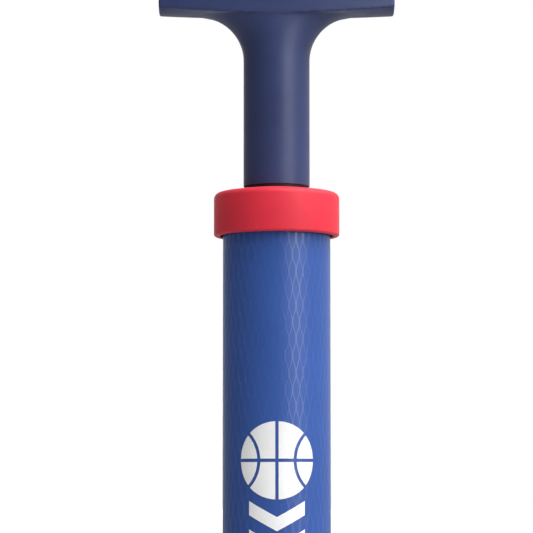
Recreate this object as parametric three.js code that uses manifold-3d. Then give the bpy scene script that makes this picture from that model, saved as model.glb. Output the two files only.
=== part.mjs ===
// Hand pump for inflating sports balls, in millimetres, standing on its base cap.
// +Z runs up the barrel, the handle bar lies along X, and the origin is the centre of the base.
//
// How it works: the handle pushes a tube with a cup seal down the barrel. Air leaves through a
// spring-loaded ball valve in the base cap and a brass socket that takes an inflating needle.
// Two needles are stored in the handle bar, on a holder that pulls out of its +X end.

import * as THREE from 'three';
import { mergeVertices } from 'three/addons/utils/BufferGeometryUtils.js';
import Module from 'manifold-3d';

const wasm = await Module();
wasm.setup();

// ---------------------------------------------------------------- driving dimensions

const GAP = 0.3; // between neighbours that touch on the real object
const WIDE_SIDES = 40; // facets round the barrel, the collar and the base cap

const barrelSize = { radius: 16.4, bore: 14.7, bottom: 5, top: 190.4 };
const capRadius = 19.2; // collar and base cap share one diameter
const skirt = { grip: barrelSize.radius + GAP, relief: 17.15, reliefDepth: 2.6 };

const collarSize = { bottom: 182.3, shoulder: 195.5, lip: 196.8, lipRadius: 10.9, bore: 9, corner: 1.8 };
const collarCeiling = 192;
const felt = { outer: 11.8, inner: 8.8, bottom: 192.3, top: 194.3 };
const bush = { outer: 14.4, bore: 8.8, bottom: 180, top: 191.7, flute: 1.4 };

const baseSize = { height: 16, corner: 1.5, plug: 14.4, plugTop: 21, air: 1.5 };
const socket = { mouth: 5.4, mouthTop: 3.3, outer: 4.6, bore: 3, bottom: 3.3, top: 8.4 };
const chamber = { radius: 3.4, bottom: 10.5, top: 17.5, seatRadius: 5 };
const ball = { radius: 2.5, z: 15.9 };
const spring = { radius: 2.6, wire: 0.3, bottom: 10.7, top: 14.6, turns: 4 };

const rod = { radius: 8.5, bore: 7.1, bottom: 37.4, top: 236 };
const piston = { bottom: 22.6, head: 12.4, seal: 14.4, hub: 5.2, hubTop: 33.5, hole: 2.4 };

const shank = { radius: 10.15, bottom: 197.5, bore: 8.8, boreTop: 236.3 };
const flare = { radius: 14, bottom: 236.55, turn: THREE.MathUtils.degToRad(82), reach: 28.6, top: 254 };
const bar = {
  half: 36.15, middle: 10.5, end: 6.6, // half length, half depth in the middle and at the ends
  under: 251.6, sag: 2.6, top: 273, // sag: how far the front's lower edge hangs in the middle
  lowCorner: 1, highCorner: 6, edge: 0.6,
};
const bumper = { outer: 9.5, inner: 8.7, bottom: 196.95, top: 198.9 };
const handleScrew = { z: 222, head: 2.4, shank: 1.3 };

const store = { z: 261.2, pitch: 7.4, round: 5, mouth: 36.15, end: -26 }; // needle store in the bar
const needle = { length: 50, thread: 2.78, threadLength: 4.6, flange: 4.7, flangeLength: 2.7, shaft: 1.13 };
const needleHead = 29.5; // x of the upper needle's threaded end

// ---------------------------------------------------------------- shape helpers

/** Merges shared corners, drops collapsed triangles and turns all faces outwards. */
function closed(geometry) {
  geometry.deleteAttribute('normal');
  geometry.deleteAttribute('uv');
  const merged = mergeVertices(geometry, 1e-3);
  const index = merged.index.array;
  const faces = [];
  for (let i = 0; i < index.length; i += 3) {
    const [a, b, c] = [index[i], index[i + 1], index[i + 2]];
    if (a !== b && b !== c && c !== a) faces.push([a, b, c]);
  }
  const corner = (i) => new THREE.Vector3().fromBufferAttribute(merged.attributes.position, i);
  const volume = faces.reduce((sum, [a, b, c]) => sum + corner(a).dot(corner(b).cross(corner(c))), 0);
  merged.setIndex(faces.flatMap(([a, b, c]) => (volume > 0 ? [a, b, c] : [a, c, b])));
  return merged;
}

function toSolid(geometry) {
  const shape = closed(geometry);
  return new wasm.Manifold(new wasm.Mesh({
    numProp: 3,
    vertProperties: new Float32Array(shape.attributes.position.array),
    triVerts: new Uint32Array(shape.index.array),
  }));
}

/** First geometry, joined with the others in `join`, less those in `cut`. */
function combine(geometry, { join = [], cut = [] }) {
  let solid = toSolid(geometry);
  for (const other of join) solid = solid.add(toSolid(other));
  for (const other of cut) solid = solid.subtract(toSolid(other));
  const mesh = solid.getMesh();
  const result = new THREE.BufferGeometry();
  result.setAttribute('position', new THREE.BufferAttribute(mesh.vertProperties, 3));
  result.setIndex(new THREE.BufferAttribute(mesh.triVerts, 1));
  return result;
}

/** Points on an arc about (r, z), in degrees from the +r direction. */
function arc(r, z, radius, from, to, steps) {
  return Array.from({ length: steps + 1 }, (_, i) => {
    const angle = THREE.MathUtils.degToRad(from + ((to - from) * i) / steps);
    return [r + radius * Math.cos(angle), z + radius * Math.sin(angle)];
  });
}

/** Solid of revolution about Z from [radius, height] points that start and end on the axis. */
function turned(points, sides = 32) {
  const profile = points.map(([r, z]) => new THREE.Vector2(r, z));
  return new THREE.LatheGeometry(profile, sides).rotateX(Math.PI / 2);
}

/** Solid of revolution with a hole, from a loop of [radius, height] points. */
const ring = (points, sides = 32) => turned([...points, points[0]], sides);

/** Plain tube or washer. */
function tube(outer, inner, bottom, top, sides = 32) {
  return ring([[inner, bottom], [outer, bottom], [outer, top], [inner, top]], sides);
}

/** Plain cylinder along Z. */
function rodAlong(radius, bottom, top, sides = 16) {
  return turned([[0, bottom], [radius, bottom], [radius, top], [0, top]], sides);
}

function block(xs, ys, zs) {
  const size = [xs, ys, zs].map(([low, high]) => high - low);
  const centre = [xs, ys, zs].map(([low, high]) => (high + low) / 2);
  return new THREE.BoxGeometry(...size).translate(...centre);
}

/** Skin over equal convex loops of Vector3, closed with a flat cap at each end. */
function loft(loops) {
  const sides = loops[0].length;
  const faces = [];
  for (let i = 0; i + 1 < loops.length; i += 1) {
    for (let j = 0; j < sides; j += 1) {
      const [a, b] = [i * sides + j, i * sides + ((j + 1) % sides)];
      faces.push(a, b, b + sides, a, b + sides, a + sides);
    }
  }
  const last = (loops.length - 1) * sides;
  for (let j = 1; j + 1 < sides; j += 1) faces.push(0, j + 1, j, last, last + j, last + j + 1);
  return new THREE.BufferGeometry().setFromPoints(loops.flat()).setIndex(faces);
}

/** Prism along X with round-ended section, standing on end, centred on height z. */
function oblong(round, pitch, z, from, to, hole = null) {
  const outline = (Kind, radius) => {
    const path = new Kind();
    path.absarc(0, pitch / 2, radius, 0, Math.PI, false);
    path.absarc(0, -pitch / 2, radius, Math.PI, 2 * Math.PI, false);
    return path.closePath();
  };
  const shape = outline(THREE.Shape, round);
  if (hole !== null) shape.holes.push(outline(THREE.Path, hole));
  const options = { depth: to - from, bevelEnabled: false, curveSegments: 8 };
  const prism = new THREE.ExtrudeGeometry(shape, options);
  return prism.rotateX(Math.PI / 2).rotateZ(Math.PI / 2).translate(from, 0, z);
}

class Helix extends THREE.Curve {
  getPoint(t) {
    const angle = 2 * Math.PI * spring.turns * t;
    const low = spring.bottom + spring.wire;
    const high = spring.top - spring.wire;
    const height = low + (high - low) * t;
    return new THREE.Vector3(spring.radius * Math.cos(angle), spring.radius * Math.sin(angle), height);
  }
}

// ---------------------------------------------------------------- barrel, collar and what they hold

/** Blue cylinder, open at both ends. */
function barrel() {
  const { radius, bore, bottom, top } = barrelSize;
  return tube(radius, bore, bottom, top, WIDE_SIDES);
}

/** Cap over the barrel's upper end, with a low dome up to the lip round the rod. */
function collar() {
  const { bottom, shoulder, lip, lipRadius, bore, corner } = collarSize;
  return ring([
    [skirt.relief, bottom],
    ...arc(capRadius - 0.4, bottom + 0.4, 0.4, -90, 0, 1),
    ...arc(capRadius - corner, shoulder - corner, corner, 0, 77, 4),
    [lipRadius, lip],
    [bore, lip],
    [bore, felt.top + GAP],
    [felt.outer + GAP, felt.top + GAP],
    [felt.outer + GAP, collarCeiling],
    [skirt.grip, collarCeiling],
    [skirt.grip, bottom + skirt.reliefDepth],
    [skirt.relief, bottom + skirt.reliefDepth],
  ], WIDE_SIDES);
}

/** Bush that keeps the rod central, with flutes that let air out from above the piston. */
function guideBush() {
  const body = tube(bush.outer, bush.bore, bush.bottom, bush.top);
  const flutes = [0, 1, 2, 3].map((i) => rodAlong(bush.flute, bush.bottom - 1, bush.top + 1, 12)
    .translate(bush.outer, 0, 0).rotateZ((i * Math.PI) / 2));
  return combine(body, { cut: flutes });
}

/** Base cap: a skirt outside the barrel, a plug inside it, and the air way down the middle. */
function baseCap() {
  const { height, corner, plug, plugTop, air } = baseSize;
  const groove = { depth: 1.4, bottom: 17.2, top: 19.6 };
  const floor = barrelSize.bottom - GAP;
  return ring([
    [socket.mouth, 0],
    ...arc(capRadius - corner, corner, corner, -90, 0, 3),
    ...arc(capRadius - 1, height - 1, 1, 0, 90, 2),
    [skirt.relief, height],
    [skirt.relief, height - skirt.reliefDepth],
    [skirt.grip, height - skirt.reliefDepth],
    [skirt.grip, floor],
    [plug, floor],
    [plug, groove.bottom],
    [plug - groove.depth, groove.bottom],
    [plug - groove.depth, groove.top],
    [plug, groove.top],
    [plug, plugTop - 0.6],
    [plug - 0.6, plugTop],
    [chamber.seatRadius, plugTop],
    [chamber.seatRadius, chamber.top],
    [chamber.radius, chamber.top],
    [chamber.radius, chamber.bottom],
    [air, chamber.bottom],
    [air, socket.top + GAP],
    [socket.outer + GAP, socket.top + GAP],
    [socket.outer + GAP, socket.mouthTop],
    [socket.mouth, socket.mouthTop],
  ], WIDE_SIDES);
}

function baseORing() {
  return ring(arc(13.85, 18.4, 0.7, 0, 300, 5), 24);
}

/** Disc above the ball, with a cone that the ball closes. */
function valveSeat() {
  const bottom = chamber.top + GAP;
  const top = baseSize.plugTop - 0.2;
  return ring([[1.8, bottom], [4.7, bottom], [4.7, top], [1.1, top], [1.1, bottom + 1]], 24);
}

function valveSpring() {
  const wireOutline = new THREE.EllipseCurve(0, 0, spring.wire, spring.wire).getPoints(5).slice(0, 5);
  const section = new THREE.Shape(wireOutline);
  return new THREE.ExtrudeGeometry(section, { steps: 12 * spring.turns, extrudePath: new Helix() });
}

function valveBall() {
  return turned(arc(0, ball.z, ball.radius, -90, 90, 8), 16);
}

/** Brass insert whose thread takes the needle. */
function needleSocket() {
  const { outer, bore, bottom, top } = socket;
  return ring([[bore, bottom + GAP], [outer, bottom + GAP], [outer, top], [bore, top]], 24);
}

// ---------------------------------------------------------------- piston

function pistonHead() {
  const { bottom, head, hub, hubTop, hole } = piston;
  return ring([
    [4.6, bottom], [head - 0.8, bottom], [head, bottom + 0.8], [head, 25.6], [hub, 25.6], [hub, hubTop],
    [hole, hubTop], [hole, 25], [4.6, 25],
  ]);
}

/** Rubber cup, open side down, so that the stroke's pressure spreads its lip. */
function cupSeal() {
  const { seal, head, hub } = piston;
  return ring([
    [hub + GAP, 25.9], [head + GAP, 25.9], [head + GAP + 0.4, 23.2], [seal, 22.9], [seal - 0.5, 26.4],
    [seal - 0.9, 27.6], [hub + GAP, 27.6],
  ]);
}

/** Plate that backs the cup, notched so that air reaches the lip on the return stroke. */
function backPlate() {
  const plate = tube(13.6, piston.hub + GAP, 27.9, 30.9);
  const notches = [0, 1, 2, 3, 4, 5].map((i) => rodAlong(1.5, 27, 32, 12)
    .translate(13.6, 0, 0).rotateZ((i * Math.PI) / 3));
  return combine(plate, { cut: notches });
}

// ---------------------------------------------------------------- rod and handle

const screwHole = (radius, from, to) => rodAlong(radius, from, to, 12)
  .rotateX(-Math.PI / 2).translate(0, 0, handleScrew.z);

function plungerTube() {
  const body = tube(rod.radius, rod.bore, rod.bottom, rod.top);
  return combine(body, { cut: [screwHole(handleScrew.shank + GAP, 5, 12)] });
}

/** Plug in the rod's lower end, drilled for the piston screw. */
function lowerPlug() {
  return turned([
    [0, 47], [2.3, 47], [2.3, 35.1], [rod.radius - 0.1, 35.1], [rod.radius - 0.1, rod.bottom - GAP],
    [rod.bore - GAP, rod.bottom - GAP], [rod.bore - GAP, 52], [0, 52],
  ], 24);
}

/** Plug in the rod's upper end, drilled for the handle screw. */
function upperPlug() {
  const body = rodAlong(rod.bore - GAP, 208, rod.top - 0.5, 24);
  return combine(body, { cut: [screwHole(handleScrew.shank + GAP, 1, 12)] });
}

function pistonScrew() {
  return turned([[0, 22.9], [3.2, 22.9], [4, 23.5], [4, 24.7], [2, 24.7], [2, 45], [0, 46.4]], 16);
}

/** Screw through the back of the shank into the rod's upper plug. */
function shankScrew() {
  const { head, shank: shaft } = handleScrew;
  const outline = [[0, 2], [shaft, 3], [shaft, 8.7], [head, 8.7], [head, 9.4], [head - 0.7, 9.7], [0, 9.7]];
  return turned(outline, 12).rotateX(-Math.PI / 2).translate(0, 0, handleScrew.z);
}

/** Section of the handle bar at x, drawn in by `inset`: a loop with a straight base and a round top. */
function barSection(x, inset) {
  const { middle, end, half, under, sag, top, lowCorner, highCorner } = bar;
  const bulge = 1 - (x / half) ** 2;
  const depth = end + (middle - end) * bulge - inset;
  const low = under + inset;
  const high = top - 0.0012 * x * x - inset;
  const [small, large] = [lowCorner - inset / 2, highCorner - inset / 2];
  return [
    ...arc(depth - small, low + small, small, -90, 0, 2),
    ...arc(depth - large, high - large, large, 0, 90, 4),
    ...arc(large - depth, high - large, large, 90, 180, 4),
    ...arc(small - depth, low - sag * bulge + small, small, 180, 270, 2),
  ].map(([y, z]) => new THREE.Vector3(x, y, z));
}

function handleBar() {
  const { half, edge } = bar;
  const middle = Array.from({ length: 11 }, (_, i) => [(half - edge) * (i / 5 - 1), 0]);
  const tip = [[half - 0.29 * edge, 0.29 * edge], [half, edge]];
  const stations = [...tip.map(([x, inset]) => [-x, inset]).reverse(), ...middle, ...tip];
  return loft(stations.map(([x, inset]) => barSection(x, inset)));
}

/** Neck under the bar: round at the shank, spreading along X only, up to the bar's underside. */
function neck() {
  const { radius, bottom } = shank;
  const widths = [[radius - 0.35, bottom], [radius, bottom + 0.35], [radius, flare.bottom]];
  for (let i = 1; i <= 7; i += 1) {
    const angle = (flare.turn * i) / 7;
    const width = radius + flare.radius * (1 - Math.cos(angle));
    widths.push([width, flare.bottom + flare.radius * Math.sin(angle)]);
  }
  widths.push([flare.reach, bar.under], [flare.reach, flare.top]);
  const ellipse = (width, z) => new THREE.EllipseCurve(0, 0, width, Math.min(width, radius))
    .getPoints(32).slice(0, 32).map((p) => new THREE.Vector3(p.x, p.y, z));
  return loft(widths.map(([width, z]) => ellipse(width, z)));
}

/** Handle: bar and neck in one moulding, bored for the rod and for the needle store. */
function handleGrip() {
  return combine(handleBar(), {
    join: [neck()],
    cut: [
      rodAlong(shank.bore, shank.bottom - 1, shank.boreTop, 32),
      rodAlong(bumper.outer + 0.2, shank.bottom - 1, bumper.top + GAP, 32),
      oblong(store.round, store.pitch, store.z, store.end, store.mouth + 1),
      screwHole(handleScrew.head + GAP, 5, 12),
    ],
  });
}

// ---------------------------------------------------------------- needle store

/** Pull-out holder: an end plug, a thin spine behind the needles and two clips for their shafts. */
function needleHolder() {
  const { z, pitch, round } = store;
  const plug = oblong(round - GAP, pitch, z, 30, store.mouth - 0.2);
  const spine = block([-21, 30.5], [3.2, 4.4], [z - 5.2, z + 5.2]);
  const clips = [-9, 12].map((x) => block([x, x + 3.5], [-1, 3.4], [z - 5.2, z + 5.2]));
  const along = (height, radius, from, to) => rodAlong(radius, from, to, 14)
    .rotateY(Math.PI / 2).translate(0, 0, z + height);
  const flangeRoom = (height, from) => (
    along(height, needle.flange + GAP, from, from + needle.flangeLength + 2 * GAP)
  );
  const headFlange = needleHead - needle.threadLength - needle.flangeLength - GAP;
  const farFlange = needleHead - needle.length + needle.threadLength - GAP;
  const band = combine(oblong(round, pitch, z, 31.6, 33.2), { cut: [oblong(round - 1, pitch, z, 31, 34)] });
  return combine(plug, {
    join: [spine, ...clips],
    cut: [
      band,
      block([35, 37], [-4, -2.4], [z - 4, z + 4]),
      block([35, 37], [2.4, 4], [z - 4, z + 4]),
      along(pitch / 2, needle.shaft + 0.27, -22, 20),
      along(-pitch / 2, needle.shaft + 0.27, -22, 20),
      flangeRoom(pitch / 2, headFlange),
      flangeRoom(-pitch / 2, farFlange),
    ],
  });
}

/** Rubber band in the plug's groove. */
function holderSeal() {
  const { z, pitch, round } = store;
  return oblong(round - 0.15, pitch, z, 31.8, 33, round - 0.8);
}

/** Inflating needle along +X with its thread at x = 0: threaded foot, knurled flange, fine shaft. */
function inflatingNeedle() {
  const { length, thread, threadLength, flange, flangeLength, shaft } = needle;
  const shoulder = threadLength + flangeLength;
  const bore = 0.65;
  const body = turned([
    [0, length - 1.7], [bore, length - 2], [bore, 0],
    [thread - 0.3, 0], [thread, 0.4], [thread, threadLength],
    [flange - 0.3, threadLength], [flange, threadLength + 0.3],
    [flange, shoulder - 0.3], [flange - 0.3, shoulder],
    [shaft + 0.5, shoulder], [shaft, shoulder + 0.6],
    [shaft, length - 0.8], [0.55, length - 0.1], [0, length],
  ], 16);
  const slot = block([0, 2], [-0.4, 0.4], [length - 5.2, length - 2.3]);
  return combine(body, { cut: [slot] }).rotateY(Math.PI / 2);
}

// ---------------------------------------------------------------- finishes

const finish = (color, roughness, metalness = 0) => () => (
  new THREE.MeshStandardMaterial({ color, roughness, metalness })
);
const bluePlastic = finish('#1f4a9a', 0.25);
const redPlastic = finish('#d8283f', 0.4);
const navyPlastic = finish('#2b3357', 0.45);
const blackRubber = finish('#101012', 0.7);
const whitePlastic = finish('#e6e4dc', 0.5);
const feltFibre = finish('#b9b39f', 0.95);
const steel = finish('#b8bcc0', 0.3, 1);
const brass = finish('#c79a48', 0.35, 1);

// ---------------------------------------------------------------- assembly

const pump = new THREE.Group();

function place(group, name, geometry, material) {
  const mesh = new THREE.Mesh(closed(geometry), material());
  mesh.name = name;
  group.add(mesh);
  return mesh;
}

const barrelGroup = new THREE.Group();
place(barrelGroup, 'barrel', barrel(), bluePlastic);
place(barrelGroup, 'collar', collar(), redPlastic);
place(barrelGroup, 'collar_gasket', tube(16.3, 14.9, 190.6, 191.7, 24), blackRubber);
place(barrelGroup, 'guide_bush', guideBush(), whitePlastic);
place(barrelGroup, 'rod_felt', tube(felt.outer, felt.inner, felt.bottom, felt.top, 24), feltFibre);
place(barrelGroup, 'base_cap', baseCap(), redPlastic);
place(barrelGroup, 'base_o_ring', baseORing(), blackRubber);
place(barrelGroup, 'valve_seat', valveSeat(), whitePlastic);
place(barrelGroup, 'valve_spring', valveSpring(), steel);
place(barrelGroup, 'valve_ball', valveBall(), steel);
place(barrelGroup, 'needle_socket', needleSocket(), brass);
place(barrelGroup, 'socket_gasket', tube(5.1, 3.1, 2.4, 3.2, 24), blackRubber);

const pistonGroup = new THREE.Group();
place(pistonGroup, 'piston_head', pistonHead(), whitePlastic);
place(pistonGroup, 'cup_seal', cupSeal(), blackRubber);
place(pistonGroup, 'piston_back_plate', backPlate(), whitePlastic);
place(pistonGroup, 'swivel_washer', tube(6.5, 2.5, 33.8, 34.8, 24), steel);

const handleGroup = new THREE.Group();
place(handleGroup, 'plunger_tube', plungerTube(), navyPlastic);
place(handleGroup, 'rod_lower_plug', lowerPlug(), whitePlastic);
place(handleGroup, 'rod_upper_plug', upperPlug(), whitePlastic);
place(handleGroup, 'piston_screw', pistonScrew(), steel);
place(handleGroup, 'handle_grip', handleGrip(), navyPlastic);
place(handleGroup, 'handle_screw', shankScrew(), steel);
place(handleGroup, 'stop_bumper', tube(bumper.outer, bumper.inner, bumper.bottom, bumper.top), blackRubber);

const storeGroup = new THREE.Group();
place(storeGroup, 'needle_holder', needleHolder(), navyPlastic);
place(storeGroup, 'holder_seal', holderSeal(), blackRubber);
const upper = place(storeGroup, 'needle_upper', inflatingNeedle(), steel);
upper.position.set(needleHead, 0, store.z + store.pitch / 2);
upper.rotation.z = Math.PI;
const lower = place(storeGroup, 'needle_lower', inflatingNeedle(), steel);
lower.position.set(needleHead - needle.length, 0, store.z - store.pitch / 2);

pump.add(barrelGroup, pistonGroup, handleGroup, storeGroup);

export default pump;
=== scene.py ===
"""Looks of the ball inflation pump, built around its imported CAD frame.

Shapes are worked out in millimetres and turned into metres when their mesh is made. Radii, heights and
places come from the boxes of the CAD nodes; what a box can't say is a named value below.
"""

import math

import bmesh
import bpy
from mathutils import Matrix, Vector


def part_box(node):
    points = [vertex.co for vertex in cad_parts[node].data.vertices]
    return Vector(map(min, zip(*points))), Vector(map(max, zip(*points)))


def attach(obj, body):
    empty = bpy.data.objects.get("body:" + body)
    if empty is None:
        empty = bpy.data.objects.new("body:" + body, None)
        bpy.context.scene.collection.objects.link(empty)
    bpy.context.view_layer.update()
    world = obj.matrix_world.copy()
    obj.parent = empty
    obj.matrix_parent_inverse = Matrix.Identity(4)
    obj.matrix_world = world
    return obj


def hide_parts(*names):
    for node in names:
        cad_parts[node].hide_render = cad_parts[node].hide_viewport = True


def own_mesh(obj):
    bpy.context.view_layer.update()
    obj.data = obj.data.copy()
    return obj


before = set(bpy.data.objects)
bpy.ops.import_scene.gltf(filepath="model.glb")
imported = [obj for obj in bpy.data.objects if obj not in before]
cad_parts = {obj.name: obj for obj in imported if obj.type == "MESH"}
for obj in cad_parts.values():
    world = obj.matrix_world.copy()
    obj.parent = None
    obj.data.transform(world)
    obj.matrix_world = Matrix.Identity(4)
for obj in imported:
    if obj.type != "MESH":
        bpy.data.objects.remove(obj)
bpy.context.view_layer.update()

MM = 0.001
TAU = 2 * math.pi


class Extent:
    """Box of a CAD node in millimetres: low and high corners, and its radius about the Z axis."""

    def __init__(self, node):
        low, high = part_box(node)
        self.low, self.high = low / MM, high / MM
        self.radius = self.high.x
        self.bottom, self.top = self.low.z, self.high.z


barrel = Extent("barrel")
collar = Extent("collar")
base = Extent("base_cap")
grip = Extent("handle_grip")
rod = Extent("plunger_tube")
bumper = Extent("stop_bumper")
holder = Extent("needle_holder")

BARREL_BORE = 14.7
ROD_BORE = 7.1
FIT = 0.3  # gap between a piece and its pocket or bore
PLUG_RADIUS = BARREL_BORE - FIT
ROD_PASSAGE = rod.radius + FIT
SKIRT_RELIEF = 17.3  # inner radius of the collar's and base cap's open edge
SKIRT_RELIEF_DEPTH = 2.6
CRISP = 0.1  # fillet of an edge that looks sharp
SHANK_RADIUS = 10.15
HANDLE_SCREW_HEIGHT = 222
STORE_HEIGHT = (holder.bottom + holder.top) / 2
STORE_PITCH = 7.4  # between the axes of the two stored needles
STORE_ROUND = 5.0  # radius of the store's two round sides
STORE_START = -26


# ------------------------------------------------------------------ camera and light

PHOTO_SCALE = 0.3046 * MM  # metres per pixel at the pump's axis
IMAGE_SIDE = 533


def make_camera():
    """Camera low in front of the pump, tilted up a little, as in a long-lens product picture."""
    distance, eye_height, centre_height, side_step = 0.762, 0.108, 0.1733, -0.0031
    data = bpy.data.cameras.new("camera")
    data.sensor_width = 36
    data.lens = data.sensor_width * distance / (IMAGE_SIDE * PHOTO_SCALE)
    camera = bpy.data.objects.new("camera", data)
    camera.location = (side_step, -distance, eye_height)
    camera.rotation_euler = (math.pi / 2 + math.atan2(centre_height - eye_height, distance), 0, 0)
    bpy.context.scene.collection.objects.link(camera)
    bpy.context.scene.camera = camera


def map_range(tree, value, start, end, low, high, smooth=False):
    """Result that runs from low to high while the value runs from start to end."""
    node = tree.nodes.new("ShaderNodeMapRange")
    if smooth:
        node.interpolation_type = "SMOOTHSTEP"
    for socket, number in (("From Min", start), ("From Max", end), ("To Min", low), ("To Max", high)):
        node.inputs[socket].default_value = number
    tree.links.new(value, node.inputs["Value"])
    return node.outputs["Result"]


STUDIO_GLOW = 0.15
# The studio brightens along parts of a direction: the part, where its change starts and ends, and the amount.
STUDIO_CHANGES = (("X", 0.2, 0.8, 0.36), ("Z", 0.3, 0.9, 0.46), ("Y", 0.1, 0.8, 0.14), ("Y", 0.8, 0.98, 0.6))
WHITE = (1, 1, 1, 1)


def make_world():
    """White backdrop. The light that it sheds is that of a dim studio, brighter right, above and behind."""
    world = bpy.data.worlds.new("studio")
    world.use_nodes = True
    bpy.context.scene.world = world
    tree = world.node_tree
    nodes, links = tree.nodes, tree.links
    nodes.clear()
    direction = nodes.new("ShaderNodeTexCoord")
    parts = nodes.new("ShaderNodeSeparateXYZ")
    links.new(direction.outputs["Generated"], parts.inputs[0])
    strength = None
    for part, start, end, amount in STUDIO_CHANGES:
        total = nodes.new("ShaderNodeMath")
        links.new(map_range(tree, parts.outputs[part], start, end, 0, amount, smooth=True), total.inputs[0])
        if strength is None:
            total.inputs[1].default_value = STUDIO_GLOW
        else:
            links.new(strength, total.inputs[1])
        strength = total.outputs[0]
    studio = nodes.new("ShaderNodeBackground")
    backdrop = nodes.new("ShaderNodeBackground")
    studio.inputs["Color"].default_value = WHITE
    backdrop.inputs["Color"].default_value = WHITE
    rays = nodes.new("ShaderNodeLightPath")
    mix = nodes.new("ShaderNodeMixShader")
    output = nodes.new("ShaderNodeOutputWorld")
    links.new(strength, studio.inputs["Strength"])
    links.new(rays.outputs["Is Camera Ray"], mix.inputs[0])
    links.new(studio.outputs[0], mix.inputs[1])
    links.new(backdrop.outputs[0], mix.inputs[2])
    links.new(mix.outputs[0], output.inputs[0])


LIGHT_AIM = Vector((0, 0, 0.15))
# Name, place, size and power of each area light.
LIGHTS = (
    ("key_softbox", (1.86, -2.0, 1.38), (1.9, 2.9), 45.6),
    ("key_surround", (1.95, -2.15, 2.3), (3.4, 2.9), 31),
    ("top_softbox", (0.8, -0.7, 2.9), (1.6, 1.2), 38),
    ("side_softbox", (1.6, 0.14, 2.0), (1.5, 1.5), 26.4),
)


def make_lights():
    """Softbox right of the camera, a wide and weak one above it, one overhead and one high on the right."""
    for name, place, size, power in LIGHTS:
        data = bpy.data.lights.new(name, "AREA")
        data.shape = "RECTANGLE"
        data.size, data.size_y = size
        data.energy = power
        light = bpy.data.objects.new(name, data)
        light.location = place
        light.rotation_euler = (LIGHT_AIM - Vector(place)).to_track_quat("-Z", "Y").to_euler()
        bpy.context.scene.collection.objects.link(light)


# ------------------------------------------------------------------ materials

def new_material(name, colour, roughness, metallic=0.0, **sockets):
    """Principled material with object coordinates ready for its textures."""
    material = bpy.data.materials.new(name)
    material.use_nodes = True
    tree = material.node_tree
    shader = tree.nodes["Principled BSDF"]
    shader.inputs["Base Color"].default_value = (*colour, 1)
    shader.inputs["Roughness"].default_value = roughness
    shader.inputs["Metallic"].default_value = metallic
    for socket, value in sockets.items():
        shader.inputs[socket.replace("_", " ")].default_value = value
    tree.nodes.new("ShaderNodeTexCoord").name = "place"
    return material


def noise(material, scale, detail, stretch=(1, 1, 1)):
    """Noise over the object, `scale` features to the metre, drawn out along the axes with a small stretch."""
    tree = material.node_tree
    mapping = tree.nodes.new("ShaderNodeMapping")
    mapping.inputs["Scale"].default_value = stretch
    texture = tree.nodes.new("ShaderNodeTexNoise")
    texture.inputs["Scale"].default_value = scale
    texture.inputs["Detail"].default_value = detail
    tree.links.new(tree.nodes["place"].outputs["Object"], mapping.inputs["Vector"])
    tree.links.new(mapping.outputs["Vector"], texture.inputs["Vector"])
    return texture.outputs["Fac"]


def vary_colour(material, factor, low, high):
    """Base colour runs between two colours over the middle third of the factor, where noise mostly lies."""
    tree = material.node_tree
    ramp = tree.nodes.new("ShaderNodeValToRGB")
    for element, position, colour in zip(ramp.color_ramp.elements, (0.35, 0.65), (low, high)):
        element.position = position
        element.color = (*colour, 1)
    tree.links.new(factor, ramp.inputs["Fac"])
    tree.links.new(ramp.outputs["Color"], tree.nodes["Principled BSDF"].inputs["Base Color"])


def vary_roughness(material, factor, low, high):
    """Roughness runs between two values over the middle of the factor."""
    tree = material.node_tree
    tree.links.new(
        map_range(tree, factor, 0.3, 0.7, low, high), tree.nodes["Principled BSDF"].inputs["Roughness"]
    )


def add_bump(material, factor, depth_mm):
    """Bump on top of any bump that is there already."""
    tree = material.node_tree
    shader = tree.nodes["Principled BSDF"]
    bump = tree.nodes.new("ShaderNodeBump")
    bump.inputs["Distance"].default_value = depth_mm * MM
    if shader.inputs["Normal"].is_linked:
        tree.links.new(shader.inputs["Normal"].links[0].from_socket, bump.inputs["Normal"])
    tree.links.new(factor, bump.inputs["Height"])
    tree.links.new(bump.outputs["Normal"], shader.inputs["Normal"])


def shade(colour, factor):
    return tuple(min(1.0, c * factor) for c in colour)


def moulded_plastic(name, colour, roughness, grain_mm=0.25, grain_depth=0.006, **sockets):
    """Plastic with fine eroded-mould grain, faint clouding of its colour and handling marks in its gloss."""
    material = new_material(name, colour, roughness, **sockets)
    vary_colour(material, noise(material, 60, 3), shade(colour, 0.94), shade(colour, 1.06))
    vary_roughness(material, noise(material, 220, 6), roughness * 0.88, roughness * 1.12)
    add_bump(material, noise(material, 1 / (grain_mm * MM), 2), grain_depth)
    return material


def glossy_plastic(name, colour, roughness, **sockets):
    """Smooth tube: slight orange peel, hairline scratches along its length and uneven polish."""
    material = new_material(name, colour, roughness, **sockets)
    vary_colour(material, noise(material, 40, 3), shade(colour, 0.95), shade(colour, 1.05))
    scratches = noise(material, 2600, 5, stretch=(1, 1, 0.02))
    vary_roughness(material, scratches, roughness * 0.85, roughness * 1.25)
    add_bump(material, noise(material, 260, 2), 0.01)
    add_bump(material, scratches, 0.0012)
    return material


def rubber(name):
    material = new_material(name, (0.012, 0.012, 0.013), 0.62)
    vary_colour(material, noise(material, 150, 4), (0.009, 0.009, 0.01), (0.02, 0.02, 0.021))
    vary_roughness(material, noise(material, 500, 4), 0.52, 0.75)
    add_bump(material, noise(material, 3500, 3), 0.015)
    return material


def turned_metal(name, colour, roughness, stretch):
    """Metal with fine lathe marks: noise drawn out round the turning axis."""
    material = new_material(name, colour, roughness, metallic=1.0)
    marks = noise(material, 1400, 6, stretch)
    vary_colour(material, noise(material, 300, 3), shade(colour, 0.9), shade(colour, 1.05))
    vary_roughness(material, marks, roughness * 0.75, roughness * 1.35)
    add_bump(material, marks, 0.003)
    return material


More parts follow.
